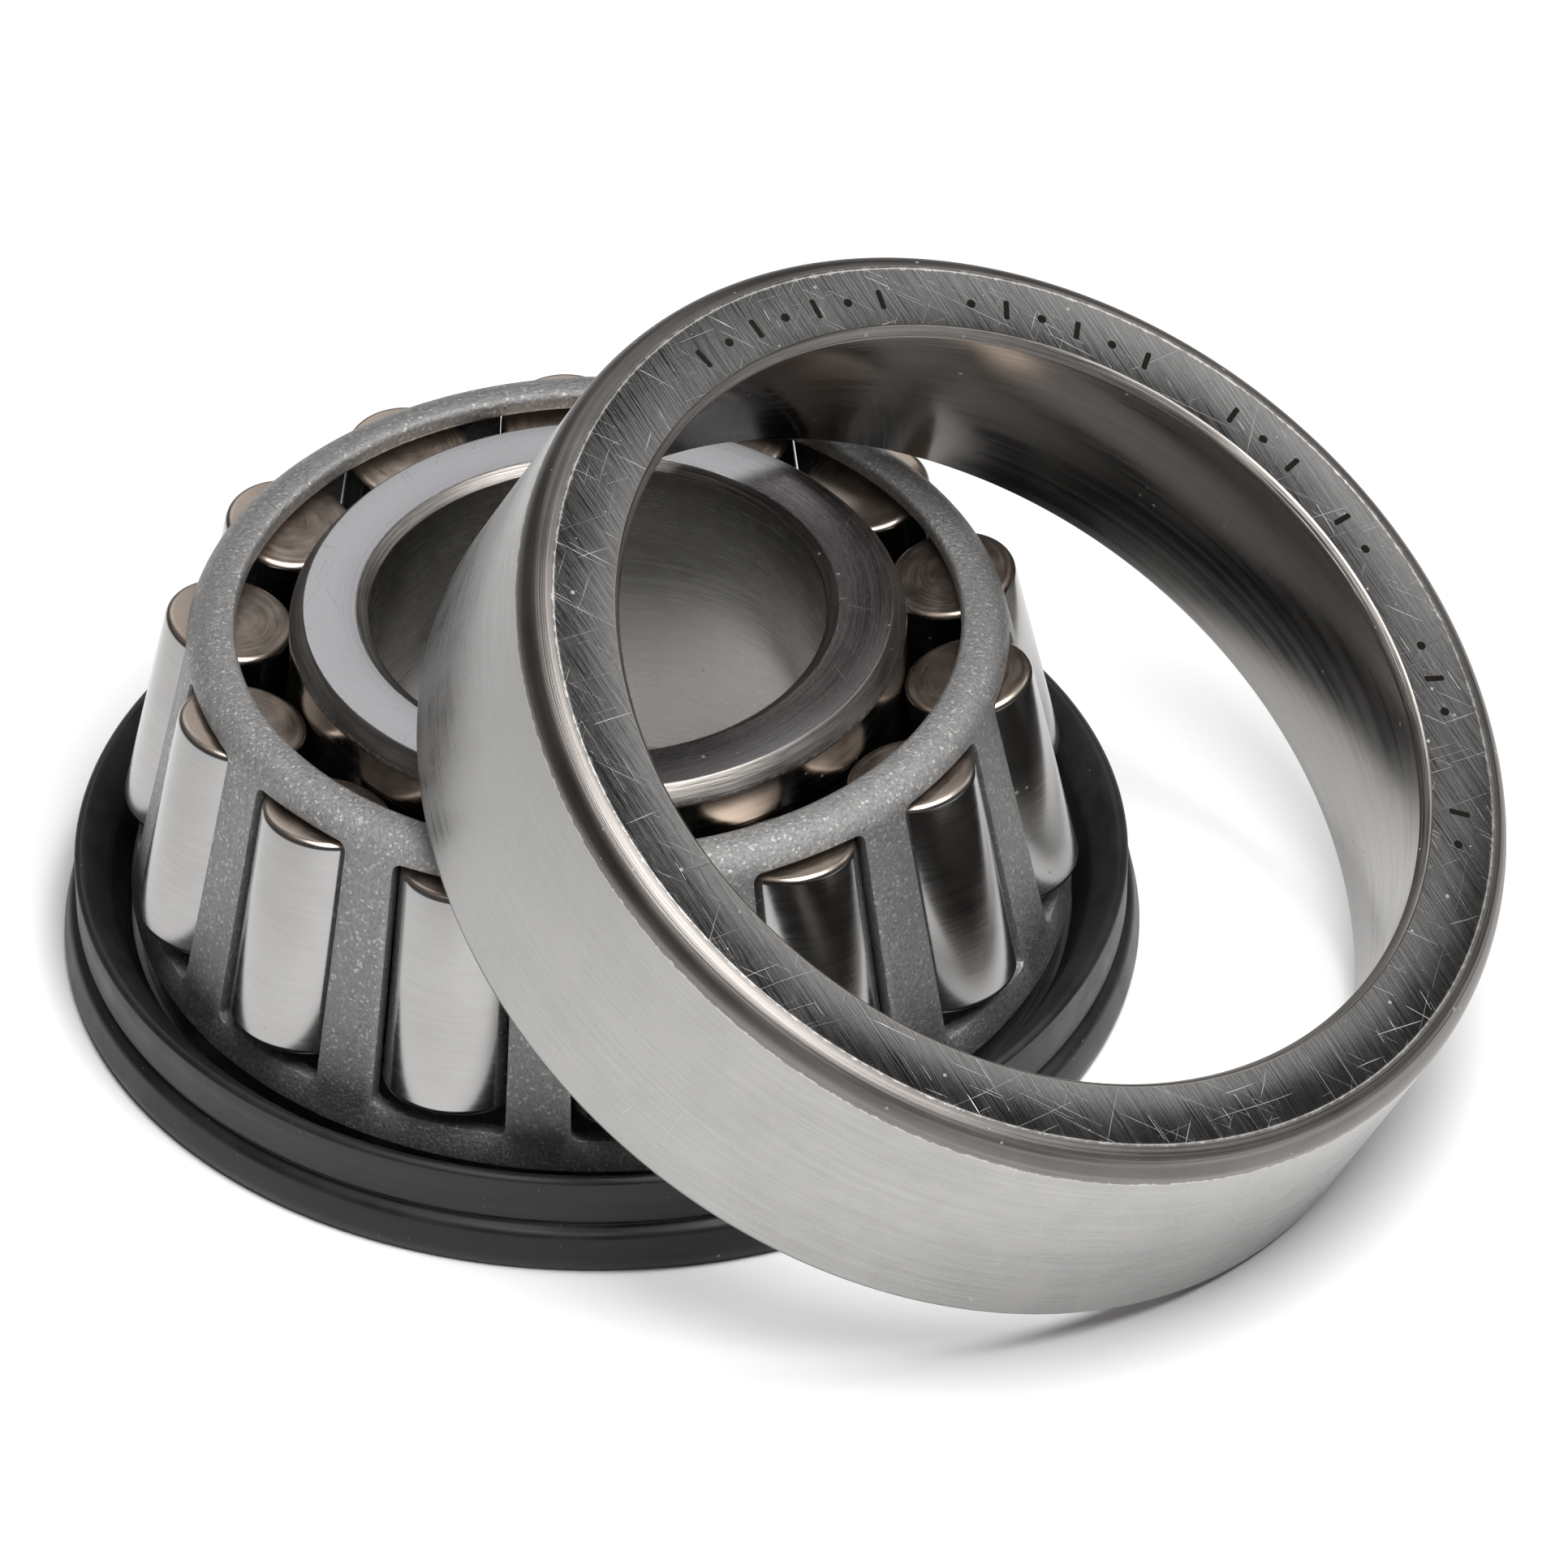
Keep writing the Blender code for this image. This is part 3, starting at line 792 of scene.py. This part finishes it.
# %% Tapers
APEX = 116.566
CUP_TAPER = math.radians(11.5)
CUP_SLOPE = math.tan(CUP_TAPER)
CONE_SLOPE = 0.14205
ROLLER_SLOPE = 0.17259
ROLLER_SMALL, ROLLER_LARGE, ROLLER_LENGTH = 3.05, 3.393, 11.5
ROLLER_TOP, ROLLER_FOOT = 15.75, 4.418


def cup_line(z):
    return (APEX - z) * CUP_SLOPE


def cone_line(z):
    return (APEX - z) * CONE_SLOPE - 0.03


def cage_line(z):
    return cup_line(z) - 1.1


print("raceway radius at the foot", round(cone_line(ROLLER_FOOT), 3))

# %% [markdown]
# The cup's section is nearly a plain wedge. Its big outer corner is an elliptic round, deeper than it
# is wide: the section is squeezed before the corner is rounded and drawn out again after it.

# %% Cup
CUP_WIDTH = 13.97
CORNER_WIDTH, CORNER_DEPTH = 1.27, 1.58
cup = as_object(
    spun(
        section(
            [
                (CUP_SMALL + 0.45, 0.0),
                (CUP_OUTSIDE, 0.0),
                (CUP_OUTSIDE, -(CUP_WIDTH - 0.6)),
                (CUP_OUTSIDE - 0.6, -CUP_WIDTH),
                (CUP_SMALL + CUP_WIDTH * CUP_SLOPE + 0.12, -CUP_WIDTH),
                (CUP_SMALL + (CUP_WIDTH - 0.25) * CUP_SLOPE, -(CUP_WIDTH - 0.25)),
                (CUP_SMALL + 0.45 * CUP_SLOPE, -0.45),
            ],
            {0: (0.1, 3), 1: (CORNER_WIDTH, 12), 2: (0.15, 3), 3: (0.15, 3), 6: (0.1, 3)},
            stretch=CORNER_DEPTH / CORNER_WIDTH,
        ),
        CUP_STEPS,
    ),
    "cup_ring",
)


def cup_zone(r, z):
    if z > -CORNER_DEPTH and r > CUP_FACE_OUTER - 0.01:
        return 1
    if z > -0.002:
        return 0
    if r > CUP_OUTSIDE - 0.01:
        return 2
    if z < -CUP_WIDTH + 0.7 and r > CUP_OUTSIDE - 0.61:
        return 1
    return 4 if z > -0.46 and r < CUP_SMALL + 0.46 else 3


settle(
    cup,
    cup_place,
    "cup_body",
    [cup_face_finish, cup_corner_finish, cup_outside_finish, raceway_finish, cone_corner_finish],
    cup_zone,
)
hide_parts("cup")

# %% [markdown]
# The back face of a cup is marked along part of its way round, small and dark. Here these are plain
# tally marks: short bars and dots in groups, which say nothing. Each is a thin pad lying a hair above
# the face.

# %% Tally marks on the cup
MARK_RADIUS, MARK_LIFT, MARK_THICKNESS = 22.05, 0.004, 0.012
BAR_LENGTH, BAR_WIDTH, DOT_RADIUS = 1.05, 0.27, 0.22
MARK_GROUPS = {
    174.0: "|.|.|.|",
    133.5: ".|.|.|",
    97.5: "|.|",
    79.0: "|.",
    60.0: ".|.",
    36.0: "|.",
}
MARK_PITCH = 4.7


def tally(bm, kind, angle):
    """Adds a bar or a dot at an angle round the cup's face."""
    start = set(bm.verts)
    if kind == "|":
        bmesh.ops.create_grid(bm, x_segments=1, y_segments=1, size=0.5)
        pad = [v for v in bm.verts if v not in start]
        bmesh.ops.scale(bm, vec=(BAR_LENGTH, BAR_WIDTH, 1.0), verts=pad)
        bmesh.ops.bevel(bm, geom=pad, offset=0.1, segments=4, profile=0.5, affect="VERTICES", material=-1)
    else:
        bmesh.ops.create_circle(bm, cap_ends=True, segments=20, radius=DOT_RADIUS)
    pad = [v for v in bm.verts if v not in start]
    turn = Matrix.Rotation(math.radians(angle), 4, "Z")
    bmesh.ops.transform(bm, matrix=turn @ Matrix.Translation((MARK_RADIUS, 0.0, MARK_LIFT)), verts=pad)


marks = bmesh.new()
for first_angle, kinds in MARK_GROUPS.items():
    for place_in_group, kind in enumerate(kinds):
        tally(marks, kind, first_angle - MARK_PITCH * place_in_group)
bmesh.ops.recalc_face_normals(marks, faces=marks.faces[:])
for face in marks.faces:
    if face.normal.z < 0:
        face.normal_flip()
walls = bmesh.ops.extrude_face_region(marks, geom=marks.faces[:])
raised = [v for v in walls["geom"] if isinstance(v, bmesh.types.BMVert)]
bmesh.ops.translate(marks, vec=(0.0, 0.0, MARK_THICKNESS), verts=raised)
bmesh.ops.recalc_face_normals(marks, faces=marks.faces[:])
settle(as_object(marks, "cup_tally_marks"), cup_place, "cup_body", [etched_finish])

# %% [markdown]
# The cone is the inner ring: a ground front face, a low rib that keeps the rollers from falling out, the
# sloping raceway, the high rib that takes the thrust, and the bore that grips the shaft.

# %% Cone
BORE = 10.715
RIB_LOW = 15.295
cone = as_object(
    spun(
        section(
            [
                (BORE + 0.58, CONE_HEIGHT),
                (13.8, CONE_HEIGHT),
                (14.47, CONE_HEIGHT - 0.85),
                (14.47, RIB_LOW + 0.15),
                (cone_line(RIB_LOW), RIB_LOW),
                (cone_line(ROLLER_FOOT), 3.7425),
                (18.02, 4.11),
                (18.32, 3.86),
                (18.32, 0.4),
                (17.92, 0.0),
                (BORE + 1.1, 0.0),
                (BORE, 1.1),
                (BORE, CONE_HEIGHT - 0.348),
            ],
            {
                0: (0.06, 2),
                1: (0.08, 3),
                2: (0.15, 3),
                7: (0.1, 2),
                8: (0.1, 2),
                11: (0.35, 4),
                12: (0.08, 2),
            },
        ),
        RING_STEPS,
    ),
    "cone_ring",
)


def cone_zone(r, z):
    if z > CONE_HEIGHT - 0.01:
        return 0
    if r < BORE + 0.01:
        return 2
    if z > CONE_HEIGHT - 1.1 or z < 1.2:
        return 1
    return 3


settle(
    cone,
    cone_place,
    "cone_assembly",
    [cone_face_finish, cone_corner_finish, bore_finish, raceway_finish],
    cone_zone,
)
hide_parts("cone")

# %% [markdown]
# A roller is a slice of a very slender cone with rounded ends. Only half its section is drawn, from the
# axis out and back to the axis, so the wire stays open and the spin closes the ends.

# %% Rollers
def roller(name, place):
    half = ROLLER_LENGTH / 2
    shape = spun(
        section(
            [(0.0, -half), (ROLLER_LARGE, -half), (ROLLER_SMALL, half), (0.0, half)],
            {1: (0.35, 5), 2: (0.35, 5)},
            closed=False,
        ),
        ROLLER_STEPS,
    )
    made = as_object(shape, name + "_turned")

    def zone(r, z):
        return 1 if abs(z) > half - 0.12 else 0

    finishes = [roller_finish, roller_end_finish]
    settle(made, place, name + "_body", finishes, zone, crease=50.0)
    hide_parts(name)
    return made


for number, name in enumerate(roller_names):
    roller(name, roller_places[name] @ Matrix.Rotation(number * 1.7, 4, "Z"))

# %% [markdown]
# The cage starts as a spun sheet with a turned-in lip. Fourteen blocks then punch its windows. The
# steps of the spin are laid so that no window's side runs along a seam, because a cut that nearly
# follows an edge leaves slivers. A small bevel on the cut edges catches the light as real ones do.

# %% Cage
CAGE_TOP, CAGE_FOOT = 17.55, 2.1
SHEET_ACROSS = 1.0205
COLUMNS_PER_ROLLER = 14
first = joints["roller_01_spin"]["pos_m"]
ROLLER_PHASE = math.atan2(first[1] - cone_place.translation.y, first[0] - cone_place.translation.x)
PITCH = 2 * math.pi / len(roller_names)

sheet = section(
    [
        (17.0, CAGE_TOP),
        (cage_line(CAGE_TOP), CAGE_TOP),
        (cage_line(CAGE_FOOT), CAGE_FOOT),
        (cage_line(CAGE_FOOT) - SHEET_ACROSS, CAGE_FOOT),
        (cage_line(CAGE_TOP - 1.0) - SHEET_ACROSS, CAGE_TOP - 1.0),
        (17.0, CAGE_TOP - 1.0),
    ],
    {0: (0.32, 4), 1: (1.307, 9), 2: (0.15, 2), 3: (0.15, 2), 4: (0.5, 4), 5: (0.25, 3)},
)
half_column = Matrix.Rotation(ROLLER_PHASE + PITCH / COLUMNS_PER_ROLLER / 2, 4, "Z")
bmesh.ops.transform(sheet, matrix=half_column, verts=sheet.verts[:])
cage = as_object(spun(sheet, COLUMNS_PER_ROLLER * len(roller_names)), "cage_sheet")

WINDOW_TOP, WINDOW_FOOT = ROLLER_TOP + 0.55, ROLLER_FOOT - 0.718
WINDOW_HALF_TOP, WINDOW_HALF_FOOT = 2.985, 3.325
WINDOW_CORNER, PUNCH_HALF_DEPTH = 0.45, 2.5


def window_punch():
    """A block as long as the window, narrower at the top, with rounded upright corners."""
    bm = bmesh.new()
    bmesh.ops.create_cube(bm, size=2.0)
    middle = (WINDOW_TOP + WINDOW_FOOT) / 2
    length = (WINDOW_TOP - WINDOW_FOOT) / math.cos(CUP_TAPER)
    for end, half in ((1, WINDOW_HALF_TOP), (-1, WINDOW_HALF_FOOT)):
        points = [v for v in bm.verts if v.co.z * end > 0]
        bmesh.ops.scale(bm, vec=(PUNCH_HALF_DEPTH, half, length / 2), verts=points)
    corners = [e for e in bm.edges if abs(e.verts[0].co.x - e.verts[1].co.x) > 0.1]
    bmesh.ops.bevel(
        bm, geom=corners, offset=WINDOW_CORNER, segments=5, profile=0.5, affect="EDGES", material=-1
    )
    lean = Matrix.Rotation(-CUP_TAPER, 4, "Y")
    out = Matrix.Translation((cage_line(middle) - 0.5, 0.0, middle))
    bmesh.ops.transform(bm, matrix=out @ lean, verts=bm.verts[:])
    return bm


punches = bmesh.new()
punch = bpy.data.meshes.new("punch")
window_punch().to_mesh(punch)
for index in range(len(roller_names)):
    turned = punch.copy()
    turned.transform(Matrix.Rotation(ROLLER_PHASE + index * PITCH, 4, "Z"))
    punches.from_mesh(turned)
    bpy.data.meshes.remove(turned)
tool = as_object(punches, "window_punches")
cut = cage.modifiers.new("windows", "BOOLEAN")
cut.operation, cut.solver, cut.object = "DIFFERENCE", "EXACT", tool
softened = cage.modifiers.new("softened", "BEVEL")
softened.width, softened.segments, softened.limit_method = 0.07, 2, "ANGLE"
softened.angle_limit = math.radians(50)
softened.use_clamp_overlap = False
softened.harden_normals = False
finished = bpy.data.meshes.new_from_object(cage.evaluated_get(bpy.context.evaluated_depsgraph_get()))
cage.modifiers.clear()
cage.data = finished
bpy.data.objects.remove(tool)
settle(cage, cone_place, "cage_body", [cage_finish])
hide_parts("cage")

# %% [markdown]
# The seal is rubber moulded round a flange of a thin steel case. The case is pressed over the cone's
# high rib, and the rubber's outer skirt seals against the hub.

# %% Seal
CASE_OUTER, CASE_INNER = 22.788, 18.37
case = as_object(
    spun(
        section(
            [
                (CASE_INNER, 3.3),
                (CASE_INNER + 0.8, 3.3),
                (CASE_INNER + 0.8, 0.2),
                (CASE_OUTER, 0.2),
                (CASE_OUTER, -0.6),
                (CASE_INNER, -0.6),
            ],
            {0: (0.12, 2), 1: (0.12, 2), 2: (0.5, 4), 5: (0.6, 4)},
        ),
        CASE_STEPS,
    ),
    "seal_case_pressed",
)
settle(case, cone_place, "cone_assembly", [case_finish])
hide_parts("seal_case")

rubber = as_object(
    spun(
        section(
            [
                (24.28, 3.72),
                (24.55, 3.8),
                (24.8325, 3.62),
                (24.7825, 1.3),
                (24.5025, 1.0),
                (25.1225, 0.75),
                (25.4225, -0.8),
                (25.1725, -1.3),
                (22.588, -1.3),
                (22.188, -1.0),
                (22.188, -0.7),
                (22.888, -0.7),
                (22.888, 0.3),
                (22.188, 0.3),
                (22.188, 0.8),
                (22.738, 1.6),
                (23.088, 2.5),
            ],
            {
                1: (0.1, 3),
                2: (0.1, 3),
                3: (0.12, 3),
                4: (0.12, 3),
                5: (0.25, 4),
                6: (0.3, 4),
                7: (0.15, 3),
                8: (0.15, 2),
                14: (0.15, 2),
                16: (0.3, 4),
            },
        ),
        RING_STEPS,
    ),
    "seal_rubber_moulded",
)
settle(rubber, cone_place, "cone_assembly", [rubber_finish], crease=45.0)
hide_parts("seal_rubber")
